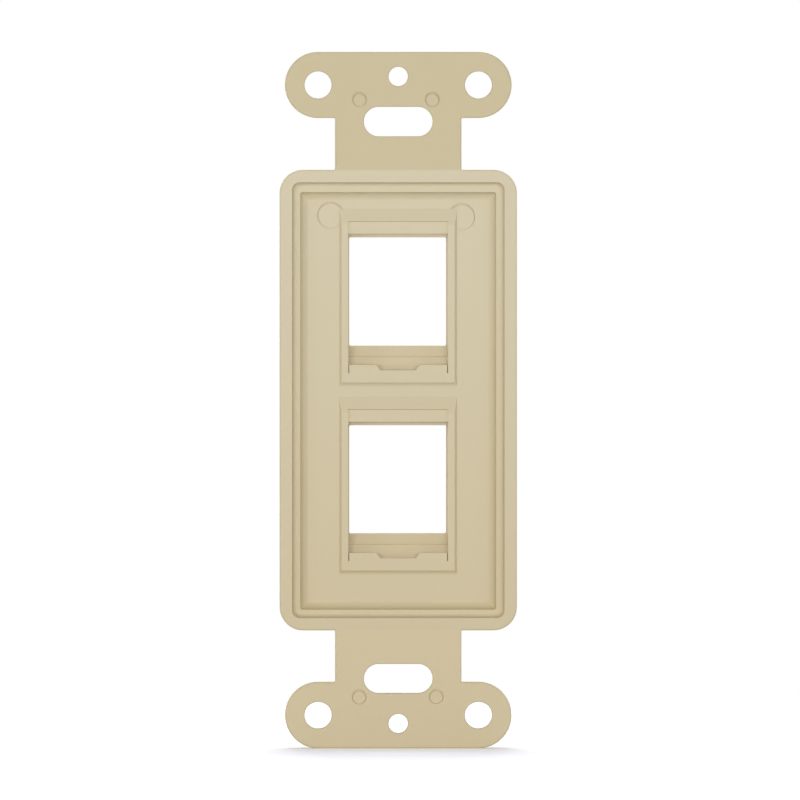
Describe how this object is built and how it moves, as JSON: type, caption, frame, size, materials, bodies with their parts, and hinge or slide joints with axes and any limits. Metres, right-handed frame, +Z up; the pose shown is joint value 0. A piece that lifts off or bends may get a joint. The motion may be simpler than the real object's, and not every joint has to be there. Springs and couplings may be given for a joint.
{
  "type": "keystone faceplate insert",
  "caption": "Moulded strap insert with keystone jack ports, for a rectangular wall plate window.",
  "frame": {"origin": "centre of the strap's flat back plane, midway between the two box screw slots", "axes": "+Z up along the strap, +Y out of the back towards the wall box, the room side looks towards -Y, X across"},
  "size_m": [0.0356, 0.0117, 0.1042],
  "materials": {
    "ivory_plastic": "fine matt moulded, ivory"
  },
  "bodies": {
    "root": {"keystone_insert": "ivory_plastic"}
  },
  "joints": []
}
